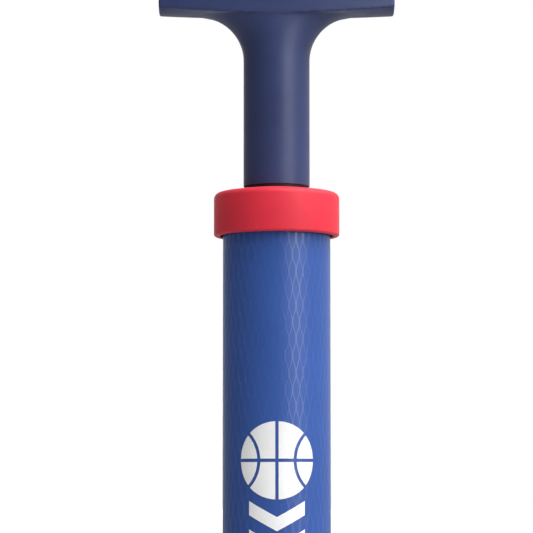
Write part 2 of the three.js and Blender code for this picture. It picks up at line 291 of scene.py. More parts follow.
def felt_fibre(name):
    material = new_material(name, (0.42, 0.39, 0.33), 0.95, Sheen_Weight=0.6, Sheen_Roughness=0.5)
    fibres = noise(material, 2200, 8)
    vary_colour(material, fibres, (0.3, 0.28, 0.23), (0.52, 0.49, 0.42))
    add_bump(material, fibres, 0.12)
    return material


BLUE = (0.0315, 0.09, 0.341)
RED = (0.775, 0.0285, 0.055)
NAVY = (0.03, 0.045, 0.135)
SATIN_SHEEN = {"Sheen_Weight": 0.06, "Sheen_Roughness": 0.35}
ROUND_Z, ROUND_X = (0.05, 0.05, 1), (1, 0.05, 0.05)  # stretches of lathe marks about each axis

blue_gloss = glossy_plastic("blue_gloss", BLUE, 0.36, Specular_IOR_Level=0.33)
net_gloss = glossy_plastic(
    "net_gloss", BLUE, 0.36, Specular_IOR_Level=0.33, Coat_Weight=0.9, Coat_Roughness=0.14
)
red_satin = moulded_plastic("red_satin", RED, 0.52, Specular_IOR_Level=0.3, **SATIN_SHEEN)
navy_satin = moulded_plastic("navy_satin", NAVY, 0.41, Specular_IOR_Level=0.42, **SATIN_SHEEN)
rod_satin = glossy_plastic("rod_satin", NAVY, 0.3, Specular_IOR_Level=0.42)
natural_plastic = moulded_plastic(
    "natural_plastic", (0.72, 0.7, 0.63), 0.45, Subsurface_Weight=0.15, Subsurface_Scale=0.002
)
white_ink = moulded_plastic("white_ink", (0.94, 0.94, 0.95), 0.3, grain_mm=0.12, grain_depth=0.003)
black_rubber = rubber("black_rubber")
felt = felt_fibre("felt")
steel = turned_metal("steel", (0.56, 0.57, 0.59), 0.28, ROUND_Z)
nickel = turned_metal("nickel", (0.7, 0.69, 0.67), 0.16, ROUND_X)
brass = turned_metal("brass", (0.78, 0.55, 0.24), 0.24, ROUND_Z)


# ------------------------------------------------------------------ shapes

FILLET_STEP = math.radians(15)


def rounded(corners, loop=True):
    """Outline from (r, z, fillet) corners, each fillet drawn as an arc."""
    points = []
    for i, (r, z, fillet) in enumerate(corners):
        here = Vector((r, z))
        if fillet <= 0 or (not loop and i in (0, len(corners) - 1)):
            points.append(here)
            continue
        before = Vector(corners[i - 1][:2]) - here
        after = Vector(corners[(i + 1) % len(corners)][:2]) - here
        half = before.angle(after) / 2
        reach = min(fillet / math.tan(half), 0.49 * before.length, 0.49 * after.length)
        middle = (before.normalized() + after.normalized()).normalized()
        centre = here + middle * (reach / math.cos(half))
        start = here + before.normalized() * reach - centre
        end = here + after.normalized() * reach - centre
        turn = math.copysign(math.pi - 2 * half, start.x * end.y - start.y * end.x)
        steps = max(2, round(abs(turn) / FILLET_STEP))
        for k in range(steps + 1):
            points.append(centre + Matrix.Rotation(turn * k / steps, 2) @ start)
    return points


def lathe(points, sides=96, loop=True, wobble=None):
    """Vertices and faces of an outline turned about Z. wobble(r, z, angle) gives a point's own (r, z)."""
    verts, faces, rows = [], [], []
    for r, z in points:
        if r < 1e-6:
            rows.append([len(verts)] * sides)
            verts.append((0, 0, z))
            continue
        rows.append(list(range(len(verts), len(verts) + sides)))
        for k in range(sides):
            angle = TAU * k / sides
            radius, height = wobble(r, z, angle) if wobble else (r, z)
            verts.append((radius * math.cos(angle), radius * math.sin(angle), height))
    for low, high in zip(rows, rows[1:] + (rows[:1] if loop else [])):
        for k in range(sides):
            n = (k + 1) % sides
            corners = dict.fromkeys((low[k], low[n], high[n], high[k]))
            if len(corners) > 2:
                faces.append(tuple(corners))
    return verts, faces


def solid(corners, **options):
    """Turned shape without a bore: its outline starts and ends on the axis."""
    return lathe(rounded(corners, loop=False), loop=False, **options)


def ring(corners, **options):
    return lathe(rounded(corners), **options)


def skin(loops):
    """Vertices and faces of a skin over equal loops of points, closed at both ends."""
    sides = len(loops[0])
    faces = [
        (i * sides + j, i * sides + (j + 1) % sides, (i + 1) * sides + (j + 1) % sides, (i + 1) * sides + j)
        for i in range(len(loops) - 1)
        for j in range(sides)
    ]
    last = (len(loops) - 1) * sides
    faces += [tuple(reversed(range(sides))), tuple(range(last, last + sides))]
    return [tuple(p) for loop in loops for p in loop], faces


def closed_skin(loops):
    """Skin whose last loop joins its first, as round a band."""
    verts, faces = skin(loops)
    sides = len(loops[0])
    last = (len(loops) - 1) * sides
    return verts, faces[:-2] + [(last + j, last + (j + 1) % sides, (j + 1) % sides, j) for j in range(sides)]


def sweep(path, section):
    """Section of (across, up) points carried along an open path."""
    loops = []
    for i, here in enumerate(path):
        along = (path[min(i + 1, len(path) - 1)] - path[max(i - 1, 0)]).normalized()
        across = along.cross(Vector((0, 0, 1))).normalized()
        up = across.cross(along)
        loops.append([here + across * a + up * b for a, b in section])
    return skin(loops)


def circle(radius, count):
    return [(radius * math.cos(TAU * k / count), radius * math.sin(TAU * k / count)) for k in range(count)]


def notched(count, depth, start, past):
    """Wobble that cuts notches into radii past a limit, each where the cosine of its turn is over `start`."""
    def wobble(r, z, angle):
        cut = max(0, math.cos(count * angle) - start) / (1 - start)
        return (r - depth * cut if r > past else r), z
    return wobble


def thread_phase(z, angle, pitch):
    """0 on a thread's crest and 1 at its root, with an even slope between them."""
    return abs(2 * ((z / pitch - angle / TAU) % 1) - 1)


def threaded(pitch, depth, low, high):
    """Wobble that runs a thread round the heights from low to high."""
    def wobble(r, z, angle):
        return (r - depth * thread_phase(z, angle, pitch) if low <= z <= high else r), z
    return wobble


def levels(low, high, step):
    count = max(1, round((high - low) / step))
    return [low + (high - low) * k / count for k in range(count + 1)]


def moved(shape, matrix):
    verts, faces = shape
    return [tuple(matrix @ Vector(v)) for v in verts], faces


def joined(*shapes):
    verts, faces = [], []
    for more_verts, more_faces in shapes:
        faces += [tuple(i + len(verts) for i in face) for face in more_faces]
        verts += more_verts
    return verts, faces


def bare_object(name, shape):
    """Object from millimetre vertices, with its faces turned outwards."""
    verts, faces = shape
    mesh = bpy.data.meshes.new(name)
    mesh.from_pydata([[c * MM for c in v] for v in verts], [], faces)
    work = bmesh.new()
    work.from_mesh(mesh)
    bmesh.ops.recalc_face_normals(work, faces=work.faces)
    work.to_mesh(mesh)
    work.free()
    result = bpy.data.objects.new(name, mesh)
    bpy.context.scene.collection.objects.link(result)
    return result


def apply_modifiers(target):
    bpy.context.view_layer.update()
    evaluated = target.evaluated_get(bpy.context.evaluated_depsgraph_get())
    mesh = bpy.data.meshes.new_from_object(evaluated)
    target.modifiers.clear()
    target.data = mesh


def boolean(target, shape, operation="DIFFERENCE"):
    """Cuts a shape from the object, or joins it on, and keeps the result as its mesh."""
    tool = bare_object("tool", shape)
    modifier = target.modifiers.new("boolean", "BOOLEAN")
    modifier.operation = operation
    modifier.solver = "MANIFOLD"
    modifier.object = tool
    apply_modifiers(target)
    bpy.data.objects.remove(tool)


SHARP_ANGLE = 35  # degrees between faces, from which an edge counts as sharp


def soften(target, width_mm):
    """Rounds the sharp edges that a moulding or a machined piece would have broken."""
    bevel = target.modifiers.new("bevel", "BEVEL")
    bevel.width = width_mm * MM
    bevel.segments = 3
    bevel.limit_method = "ANGLE"
    bevel.angle_limit = math.radians(SHARP_ANGLE)
    bevel.harden_normals = True
    apply_modifiers(target)


def plain_ring(extent, bore, fillet, **options):
    """Round washer or tube as high and as wide as an extent."""
    radius, bottom, top = extent.radius, extent.bottom, extent.top
    corners = [(bore, bottom), (radius, bottom), (radius, top), (bore, top)]
    return ring([(r, z, fillet) for r, z in corners], **options)


def dress(target, material, body, slot, *nodes, sharp=SHARP_ANGLE):
    """Gives an object its material, shading and body, and hides the CAD nodes that it stands for."""
    target.data.materials.clear()
    target.data.materials.append(material)
    target.data.shade_smooth()
    target.data.set_sharp_from_angle(angle=math.radians(sharp))
    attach(target, body)
    if nodes:
        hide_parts(*nodes)
    return target


def piece(name, shape, material, body, slot, *nodes, sharp=SHARP_ANGLE):
    return dress(bare_object(name, shape), material, body, slot, *nodes, sharp=sharp)


# ------------------------------------------------------------------ barrel

NET_LINES = 88
NET_PERIOD = 10.15
NET_START = -2.0
NET_SWING = 0.46  # of the angle between two lines
NET_WIDTH = 0.42
NET_SHOULDER = 0.88  # of a line's half width
NET_HEIGHT = 0.035
NET_CROWN = 0.027  # a line's middle above its shoulders
NET_ROOT = -0.03
NET_OVERLAP = 0.004  # one line lies just over the next where they touch
NET_ROWS = 10  # for each period
PRINT_LIFT = 0.13  # the print's surface above the barrel's
PRINT_THICKNESS = 0.06
PRINT_LEAST = 0.01  # height of the print where its curves meet


def make_barrel():
    shape = plain_ring(barrel, BARREL_BORE, 0.3, sides=192)
    piece("barrel_tube", shape, blue_gloss, "barrel", "blue_gloss_plastic", "barrel")


def make_net():
    """Raised net of long diamonds: upright waves, each in step against the next, touching at their crests."""
    bottom, top = base.bottom + 14.5, collar.bottom + 2  # hidden in the base cap and the collar
    spacing = TAU / NET_LINES
    rows = round((top - bottom) / NET_PERIOD * NET_ROWS)
    half = NET_WIDTH / 2 / barrel.radius
    shoulder = half * NET_SHOULDER
    ribs = []
    for line in range(NET_LINES):
        swing = spacing * NET_SWING * (-1) ** line
        crown = NET_HEIGHT + NET_OVERLAP * (line % 2)
        side = crown - NET_CROWN
        profile = [(-half, NET_ROOT), (-shoulder, side), (0, crown), (shoulder, side), (half, NET_ROOT)]
        loops = []
        for row in range(rows + 1):
            z = bottom + (top - bottom) * row / rows
            angle = (line + 0.5) * spacing + swing * math.cos(TAU * (z - NET_START) / NET_PERIOD)
            points = ((barrel.radius + out, angle + turn) for turn, out in profile)
            loops.append([(radius * math.cos(a), radius * math.sin(a), z) for radius, a in points])
        ribs.append(skin(loops))
    piece("barrel_net", joined(*ribs), net_gloss, "barrel", "blue_gloss_plastic", sharp=30)


def printed(low, high, start, end, steps):
    """Flat print between two curves low(x) and high(x), wrapped on the front of the barrel."""
    outside, inside = barrel.radius + PRINT_LIFT, barrel.radius + (PRINT_LIFT - PRINT_THICKNESS)
    loops = []
    for k in range(steps + 1):
        x = start + (end - start) * k / steps
        bottom, top = low(x), max(high(x), low(x) + PRINT_LEAST)
        angle = x / barrel.radius - math.pi / 2
        corners = ((outside, bottom), (outside, top), (inside, top), (inside, bottom))
        loops.append([(radius * math.cos(angle), radius * math.sin(angle), z) for radius, z in corners])
    return skin(loops)


def make_graphic():
    """Generic print: a ball with curved seams, and arrows for the stroke below it."""
    size, seam = 11.6, 0.5  # the ball's radius, and half the width of a seam
    drop = 56.6  # from the collar down to the ball
    centre = collar.bottom - drop - size
    curve, offset = 0.95 * size, 1.42 * size  # radius of the side seams, and how far out they are centred

    def rim(x):
        return math.sqrt(max(size * size - x * x, 0))

    def side_seam(x, radius):
        return math.sqrt(max(radius * radius - (offset - abs(x)) ** 2, 0))

    def middle_low(x):
        return max(seam, side_seam(x, curve + seam))

    def side_low(x):
        return seam

    def side_high(x):
        return min(rim(x), side_seam(x, curve - seam))

    def placed(outline, up):
        return lambda x: centre + up * outline(x)

    middle_end = (size * size - (curve + seam) ** 2 + offset * offset) / (2 * offset)
    side_start = offset - (curve - seam) + 0.04
    panels = ((middle_low, rim, seam, middle_end), (side_low, side_high, side_start, rim(seam)))
    parts = []
    for side in (-1, 1):
        for up in (-1, 1):
            for low, high, start, end in panels:
                lower, upper = (low, high) if up > 0 else (high, low)
                parts.append(printed(placed(lower, up), placed(upper, up), side * start, side * end, 28))

    thick, reach, slope, gap, pitch = 4.2, 8.6, 0.55, 5.2, 8.4

    def chevron(height):
        return lambda x: height + slope * abs(x)

    for index in range(3):
        peak = centre - size - gap - index * pitch
        parts.append(printed(chevron(peak - thick), chevron(peak), -reach, reach, 40))
    piece("barrel_print", joined(*parts), white_ink, "barrel", "natural_plastic", sharp=50)


# ------------------------------------------------------------------ collar, base cap and their small parts

COLLAR_TRIM = 0.15  # off its lower edge
COLLAR_BORE = 9


def make_collar():
    felt_box, gasket = Extent("rod_felt"), Extent("collar_gasket")
    felt_top, gasket_top = felt_box.top + FIT, gasket.top + FIT
    lip, pocket, socket = collar.top, felt_box.radius + FIT, barrel.radius + FIT
    bottom = collar.bottom + COLLAR_TRIM
    relief_top = bottom + SKIRT_RELIEF_DEPTH
    outline = [
        (SKIRT_RELIEF, bottom, 0.25), (collar.radius, bottom, 0.75), (collar.radius, lip - 1.25, 1.9),
        (11.4, lip - 0.12, 1.0), (10.7, lip, 0.3), (COLLAR_BORE, lip, 0.25),
        (COLLAR_BORE, felt_top, CRISP), (pocket, felt_top, CRISP),
        (pocket, gasket_top, CRISP), (socket, gasket_top, CRISP),
        (socket, relief_top, CRISP), (SKIRT_RELIEF, relief_top, CRISP),
    ]
    piece("collar_ring", ring(outline, sides=192), red_satin, "barrel", "red_satin_plastic", "collar")


# Turned grooves of the base cap: the lowest height or the inner radius of each, and their width and depth.
GRIP_GROOVES, GRIP_WIDTH, GRIP_DEPTH = (4.6, 6.8, 9.0), 1, 0.45
FOOT_GROOVES, FOOT_WIDTH, FOOT_DEPTH = (8.4, 12.6), 1.4, 0.4
O_RING_GROOVE = (17.2, 19.6)
O_RING_FLOOR = 13
SKIRT_TOP = 16
SPRING_ROOM = (3.4, 10.5)  # radius and floor
AIR_HOLE = 1.5


def make_base_cap():
    """Cap with grip grooves round its side, two shallow rings underneath and a plug with an O-ring groove."""
    seat, insert, gasket = Extent("valve_seat"), Extent("needle_socket"), Extent("socket_gasket")
    radius, ground = base.radius, base.bottom
    outline = [(gasket.radius + FIT, ground, 0.2)]
    for start in FOOT_GROOVES:
        end, roof = start + FOOT_WIDTH, ground + FOOT_DEPTH
        outline += [(start, ground, 0.15), (start, roof, CRISP), (end, roof, CRISP), (end, ground, 0.15)]
    outline += [(radius, ground, 1.5)]
    cut = radius - GRIP_DEPTH
    for low in GRIP_GROOVES:
        high = low + GRIP_WIDTH
        profile = ((radius, low), (cut, low + 0.2), (cut, high - 0.2), (radius, high))
        outline += [(r, z, 0.15) for r, z in profile]
    outline += [(radius, SKIRT_TOP, 1.1), (SKIRT_RELIEF, SKIRT_TOP, 0.25)]
    relief, floor = SKIRT_TOP - SKIRT_RELIEF_DEPTH, barrel.bottom - FIT
    socket = barrel.radius + FIT
    inside = [(SKIRT_RELIEF, relief), (socket, relief), (socket, floor), (PLUG_RADIUS, floor)]
    low, high = O_RING_GROOVE
    inside += [(PLUG_RADIUS, low), (O_RING_FLOOR, low), (O_RING_FLOOR, high), (PLUG_RADIUS, high)]
    outline += [(r, z, CRISP) for r, z in inside]
    seat_pocket, seat_floor = seat.radius + FIT, seat.bottom - FIT
    outline += [(PLUG_RADIUS, base.top, 0.6), (seat_pocket, base.top, 0.2)]
    room, room_floor = SPRING_ROOM
    insert_pocket, insert_top, insert_bottom = insert.radius + FIT, insert.top + FIT, insert.bottom - FIT
    inside = [(seat_pocket, seat_floor), (room, seat_floor), (room, room_floor), (AIR_HOLE, room_floor)]
    inside += [(AIR_HOLE, insert_top), (insert_pocket, insert_top)]
    outline += [(r, z, CRISP) for r, z in inside]
    outline += [(insert_pocket, insert_bottom, 0.15), (gasket.radius + FIT, insert_bottom, CRISP)]
    piece("base_cup", ring(outline, sides=160), red_satin, "barrel", "red_satin_plastic", "base_cap")


def make_socket():
    """Brass insert: knurled outside, threaded inside."""
    extent = Extent("needle_socket")
    bore, pitch, edge = 3.0, 0.63, 0.3
    low, high = extent.bottom + edge, extent.top - edge

    def wobble(r, z, angle):
        if r < bore + 0.1:
            return r - 0.1 + 0.1 * thread_phase(z, angle, pitch), z
        return r - 0.12 * (0.5 + 0.5 * math.cos(40 * angle)), z

    points = [(extent.radius, z) for z in levels(low, high, 0.4)]
    points += [(extent.radius - edge, extent.top), (bore + edge, extent.top)]
    points += [(bore, z) for z in reversed(levels(low, high, pitch / 6))]
    points += [(bore + edge, extent.bottom), (extent.radius - edge, extent.bottom)]
    piece("socket_insert", lathe(points, sides=160, wobble=wobble), brass, "barrel", "brass", "needle_socket")


def make_barrel_inserts():
    washers = (
        ("collar_seal", "collar_gasket", 14.9, black_rubber, "black_rubber", 0.3),
        ("felt_ring", "rod_felt", ROD_PASSAGE, felt, "felt", 0.5),
        ("socket_washer", "socket_gasket", 3.1, black_rubber, "black_rubber", 0.2),
    )
    for name, node, bore, material, slot, fillet in washers:
        piece(name, plain_ring(Extent(node), bore, fillet), material, "barrel", slot, node)
    o_ring, thick = Extent("base_o_ring"), 0.7
    middle, height = o_ring.radius - thick, (o_ring.bottom + o_ring.top) / 2
    points = [(middle + a, height + b) for a, b in circle(thick, 20)]
    piece("plug_o_ring", lathe(points), black_rubber, "barrel", "black_rubber", "base_o_ring")
    bush = Extent("guide_bush")
    corners = [
        (ROD_PASSAGE, bush.bottom, 0.4), (PLUG_RADIUS, bush.bottom, 0.3),
        (PLUG_RADIUS, bush.top, 0.3), (ROD_PASSAGE, bush.top, 0.4),
    ]
    shape = ring(corners, sides=144, wobble=notched(4, 1.4, 0.86, 13))
    piece("rod_bush", shape, natural_plastic, "barrel", "natural_plastic", "guide_bush")


def make_valve():
    seat = Extent("valve_seat")
    corners = [
        (1.8, seat.bottom, 0.1), (seat.radius, seat.bottom, 0.3), (seat.radius, seat.top, 0.3),
        (1.1, seat.top, 0.15), (1.1, seat.bottom + 1, 0.1),
    ]
    piece("seat_disc", ring(corners), natural_plastic, "barrel", "natural_plastic", "valve_seat")
    ball = Extent("valve_ball")
    radius, steps = (ball.top - ball.bottom) / 2, 24
    angles = (math.pi * (k / steps - 0.5) for k in range(1, steps))
    arc = [(radius * math.cos(a), ball.bottom + radius + radius * math.sin(a)) for a in angles]
    arc = [(0, ball.bottom), *arc, (0, ball.top)]
    piece("check_ball", lathe(arc, sides=48, loop=False), steel, "valve", "steel", "valve_ball")
    spring = Extent("valve_spring")
    radius, wire, turns, steps = 2.6, 0.28, 4, 48
    low, high = spring.bottom + wire, spring.top - wire
    path = [
        Vector((radius * math.cos(TAU * t), radius * math.sin(TAU * t), low + (high - low) * t / turns))
        for t in (k / steps for k in range(turns * steps + 1))
    ]
    coil = piece("check_spring", sweep(path, circle(wire, 10)), steel, "barrel", "steel", "valve_spring")
    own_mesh(coil)


# ------------------------------------------------------------------ piston and rod

def cross_recess(depth_from, depth_to, arm=1.7, width=0.55):
    """Cross-shaped cutter along Z for a screw head."""
    def bar(dx, dy):
        corners = [(-dx, -dy), (dx, -dy), (dx, dy), (-dx, dy)]
        return skin([[(x * s, y * s, z) for x, y in corners] for z, s in ((depth_from, 1), (depth_to, 0.6))])
    return bar(arm, width / 2), bar(width / 2, arm)


def make_piston():
    head, cup, plate = Extent("piston_head"), Extent("cup_seal"), Extent("piston_back_plate")
    hub, flange_top, screw_bore = 5.2, 25.6, 2.4
    well, well_top = 4.6, 25  # room for the screw's head
    corners = [
        (well, head.bottom, 0.2), (head.radius, head.bottom, 0.8), (head.radius, flange_top, 0.3),
        (hub, flange_top, 0.4), (hub, head.top, 0.4), (screw_bore, head.top, 0.2),
        (screw_bore, well_top, 0.1), (well, well_top, 0.2),
    ]
    piece("piston_core", ring(corners), natural_plastic, "piston", "natural_plastic", "piston_head")
    bore, floor, lip = hub + FIT, flange_top + FIT, cup.radius
    heel, lip_inside = 12.7, 13.1
    corners = [
        (bore, floor, 0.2), (heel, floor, 0.8), (lip_inside, cup.bottom + 0.2, 0.1), (lip, cup.bottom, 0.25),
        (lip - 0.5, floor + 0.5, 1.5), (lip - 0.9, cup.top, 0.8), (bore, cup.top, 0.2),
    ]
    piece("cup_ring", ring(corners, sides=128), black_rubber, "piston", "black_rubber", "cup_seal")
    rim = plate.high.y - 0.1
    corners = [
        (bore, plate.bottom, 0.2), (rim, plate.bottom, 0.3), (rim, plate.top, 0.5), (bore, plate.top, 0.3),
    ]
    shape = ring(corners, sides=144, wobble=notched(6, 1.5, 0.8, 12))
    piece("back_disc", shape, natural_plastic, "piston", "natural_plastic", "piston_back_plate")
    shape = plain_ring(Extent("swivel_washer"), 2.5, 0.15)
    piece("swivel_ring", shape, steel, "piston", "steel", "swivel_washer")


SCREW_HOLE = 1.6
SCREW_SIDEWAYS = Matrix.Translation((0, 0, HANDLE_SCREW_HEIGHT)) @ Matrix.Rotation(-math.pi / 2, 4, "X")


def side_hole(radius, start, end):
    """Cutter along +Y at the height of the handle screw."""
    corners = [(0, start, 0), (radius, start, 0), (radius, end, 0), (0, end, 0)]
    return moved(solid(corners, sides=48), SCREW_SIDEWAYS)


def make_rod():
    corners = [
        (ROD_BORE, rod.bottom, 0.3), (rod.radius, rod.bottom, 0.4),
        (rod.radius, rod.top, 0.4), (ROD_BORE, rod.top, 0.3),
    ]
    tube = bare_object("rod_tube", ring(corners, sides=128))
    boolean(tube, side_hole(SCREW_HOLE, 5, 12))
    dress(tube, rod_satin, "handle", "navy_plastic", "plunger_tube")
    lower, upper = Extent("rod_lower_plug"), Extent("rod_upper_plug")
    plug, flange_top = ROD_BORE - FIT, rod.bottom - FIT
    bore, bore_top = 2.3, 47
    corners = [
        (0, bore_top, 0), (bore, bore_top, 0.1), (bore, lower.bottom, 0.2), (lower.radius, lower.bottom, 0.4),
        (lower.radius, flange_top, 0.3), (plug, flange_top, 0.1), (plug, lower.top, 0.6), (0, lower.top, 0),
    ]
    piece("rod_foot_plug", solid(corners), natural_plastic, "handle", "natural_plastic", "rod_lower_plug")
    corners = [(0, upper.bottom, 0), (plug, upper.bottom, 0.6), (plug, upper.top, 0.6), (0, upper.top, 0)]
    head_plug = bare_object("rod_head_plug", solid(corners))
    boolean(head_plug, side_hole(SCREW_HOLE, 1, 12))
    dress(head_plug, natural_plastic, "handle", "natural_plastic", "rod_upper_plug")


def threaded_shaft(radius, low, high, pitch):
    return [Vector((radius, z)) for z in levels(low, high, pitch / 6)]


def make_screws():
    """Piston screw up the axis, and the handle screw in the back of the shank."""
    box = Extent("piston_screw")
    shaft, pitch, thread_from, thread_to = 2, 0.8, 25.6, 44.6
    head_top = box.bottom + 1.8
    corners = [
        (0, box.bottom, 0), (box.radius, box.bottom, 0.8), (box.radius, head_top, 0.2),
        (shaft, head_top, 0.1), (shaft, thread_from - 0.1, 0),
    ]
    points = rounded(corners, loop=False) + threaded_shaft(shaft, thread_from, thread_to, pitch)
    points += [Vector((0.8, box.top - 0.4)), Vector((0, box.top))]
    shape = lathe(points, sides=64, loop=False, wobble=threaded(pitch, 0.28, thread_from + 0.2, thread_to))
    screw = bare_object("axis_screw", shape)
    for arm in cross_recess(box.bottom - 0.4, box.bottom + 1.2):
        boolean(screw, arm)
    dress(screw, steel, "handle", "steel", "piston_screw")

    shaft, pitch, thread_from, thread_to = 1.3, 0.6, 3.2, 8.4
    tip, neck, head, face = 2, 8.7, 2.4, 9.7
    points = [Vector((0, tip)), Vector((0.5, tip + 0.4))]
    points += threaded_shaft(shaft, thread_from, thread_to, pitch)
    points += rounded([(shaft, neck, 0.1), (head, neck, 0.1), (head, face, 0.7), (0, face, 0)], loop=False)
    shape = lathe(points, sides=64, loop=False, wobble=threaded(pitch, 0.22, 3.3, 8.3))
    screw = bare_object("shank_screw", moved(shape, SCREW_SIDEWAYS))
    for arm in cross_recess(face + 0.5, face - 0.8, arm=1.35, width=0.5):
        boolean(screw, moved(arm, SCREW_SIDEWAYS))
    dress(screw, steel, "handle", "steel", "handle_screw")


# ------------------------------------------------------------------ handle

FLARE_RADIUS = 14.0
FLARE_BOTTOM = 236.55
FLARE_TURN = math.radians(82)
FLARE_REACH = 28.6
BAR_UNDER = 251.6
# Heights of the bar's base at its ends, and how much lower they are in the middle: along its centre line, and
# at its front and back edges.
BAR_KEEL = (250.9, 0.5)
BAR_FRONT = (252.6, 2.55)
BAR_BACK = (252.6, 0.8)
BAR_BASE_STEPS = 24
BAR_END_DEPTH = 6.6
BAR_END_EDGE = 0.4
BAR_CROWN = 0.0012  # times the square of the distance from the middle, it is how far the top drops
BAR_ROUND = 6
BAR_ROUND_STEPS = 14
HANDLE_VOXEL = 0.34
SHANK_FOOT_EDGE = 9.75  # radius where the shank's foot starts to be broken
SCREW_HEAD_HOLE = 2.7
SHANK_FOOT_LIFT = 0.15  # shows the black bumper below the shank


def corner_arc(y, z, radius, start):
    """Quarter turn from an angle in degrees."""
    angles = (math.radians(start + 90 * k / BAR_ROUND_STEPS) for k in range(BAR_ROUND_STEPS + 1))
    return [(y + radius * math.cos(a), z + radius * math.sin(a)) for a in angles]


def bar_section(x, inset):
    """Section of the handle bar at x: slightly keeled base, near-upright sides and a round top."""
    half, middle = grip.high.x, grip.high.y
    bulge = 1 - (x / half) ** 2
    depth = BAR_END_DEPTH + (middle - BAR_END_DEPTH) * bulge - inset
    keel, front, back = (at_end - sag * bulge + inset for at_end, sag in (BAR_KEEL, BAR_FRONT, BAR_BACK))
    high = grip.top - BAR_CROWN * x * x - inset
    large = BAR_ROUND - inset / 2
    section = [(depth, back)]
    section += corner_arc(depth - large, high - large, large, 0)
    section += corner_arc(large - depth, high - large, large, 90)
    for k in range(BAR_BASE_STEPS):
        side = 2 * k / BAR_BASE_STEPS - 1
        section.append((depth * side, keel + ((front if side < 0 else back) - keel) * side * side))
    return [(x, y, z) for y, z in section]


def bar_shape():
    """Bar as a skin over its sections, with rounded edges at its two ends."""
    half, edge, steps, edge_steps = grip.high.x, BAR_END_EDGE, 30, 5
    stations = [((half - edge) * (k / steps - 1), 0) for k in range(2 * steps + 1)]
    angles = (math.pi / 2 * k / edge_steps for k in range(1, edge_steps + 1))
    tips = [(half - edge * (1 - math.sin(a)), edge * (1 - math.cos(a))) for a in angles]
    stations = [(-x, inset) for x, inset in reversed(tips)] + stations + tips
    return skin([bar_section(x, inset) for x, inset in stations])


def neck_shape():
    """Round shank that spreads along X, on an arc and then a short slope, into the bar's underside."""
    start, steps = grip.bottom - 3, 24
    widths = [(SHANK_RADIUS, start + k) for k in range(int(FLARE_BOTTOM - start) + 1)]
    for angle in (FLARE_TURN * k / steps for k in range(steps + 1)):
        spread, rise = FLARE_RADIUS * (1 - math.cos(angle)), FLARE_RADIUS * math.sin(angle)
        widths.append((SHANK_RADIUS + spread, FLARE_BOTTOM + rise))
    widths += [(FLARE_REACH, BAR_UNDER), (FLARE_REACH, BAR_UNDER + 3)]
    around = circle(1, 128)
    return skin([[(width * c, SHANK_RADIUS * s, z) for c, s in around] for width, z in widths])


def oblong_loop(radius, x, steps=24):
    """Round-ended outline of the needle store at x, standing on end."""
    loop = []
    for centre, start in ((STORE_PITCH / 2, 0), (-STORE_PITCH / 2, math.pi)):
        for angle in (start + math.pi * k / steps for k in range(steps + 1)):
            loop.append((x, radius * math.cos(angle), STORE_HEIGHT + centre + radius * math.sin(angle)))
    return loop


def oblong(radius, x_from, x_to):
    """Round-ended prism along X."""
    return skin([oblong_loop(radius, x_from), oblong_loop(radius, x_to)])


def oblong_ring(outer, inner, x_from, x_to):
    """Round-ended band along X between two radii."""
    corners = ((outer, x_from), (outer, x_to), (inner, x_to), (inner, x_from))
    return closed_skin([oblong_loop(radius, x) for radius, x in corners])


def make_handle():
    """Bar and neck fused into one smooth moulding, then bored for the rod, the screw and the store."""
    handle = bare_object("handle_moulding", joined(bar_shape(), neck_shape()))
    fuse = handle.modifiers.new("fuse", "REMESH")
    fuse.mode = "VOXEL"
    fuse.voxel_size = HANDLE_VOXEL * MM
    relax = handle.modifiers.new("relax", "SMOOTH")
    relax.factor = 0.5
    relax.iterations = 4
    apply_modifiers(handle)
    below, foot = grip.bottom - 5, grip.bottom + SHANK_FOOT_LIFT
    edge, past = SHANK_FOOT_EDGE, 14
    middle = edge + 0.01  # so that the two cutters overlap
    boolean(handle, solid([(0, below, 0), (middle, below, 0), (middle, foot, 0), (0, foot, 0)], sides=128))
    outline = [(edge, below), (past, below), (past, foot + 4), (SHANK_RADIUS + 0.2, foot + 0.3), (edge, foot)]
    boolean(handle, ring([(r, z, 0) for r, z in outline], sides=128))
    recess, recess_top, rod_room = bumper.radius + 0.15, bumper.top + FIT, rod.top + FIT
    bore = [
        (0, below), (recess, below), (recess, recess_top),
        (ROD_PASSAGE, recess_top), (ROD_PASSAGE, rod_room), (0, rod_room),
    ]
    boolean(handle, solid([(r, z, 0) for r, z in bore], sides=128))
    boolean(handle, oblong(STORE_ROUND, STORE_START, grip.high.x + 1))
    boolean(handle, side_hole(SCREW_HEAD_HOLE, 5, 14))
    dress(handle, navy_satin, "handle", "navy_plastic", "handle_grip", sharp=40)


def make_bumper():
    shape = plain_ring(bumper, 8.7, 0.35, sides=128)
    piece("bumper_ring", shape, black_rubber, "handle", "black_rubber", "stop_bumper")


# ------------------------------------------------------------------ needle store

# Radii of a needle, then heights above its foot, then its thread's pitch.
NEEDLE_THREAD = 2.78
NEEDLE_FLANGE = 4.7
NEEDLE_SHAFT = 1.13
NEEDLE_BORE = 0.62
NEEDLE_FOOT = 4.6
NEEDLE_SHOULDER = 7.3
NEEDLE_PITCH = 0.63


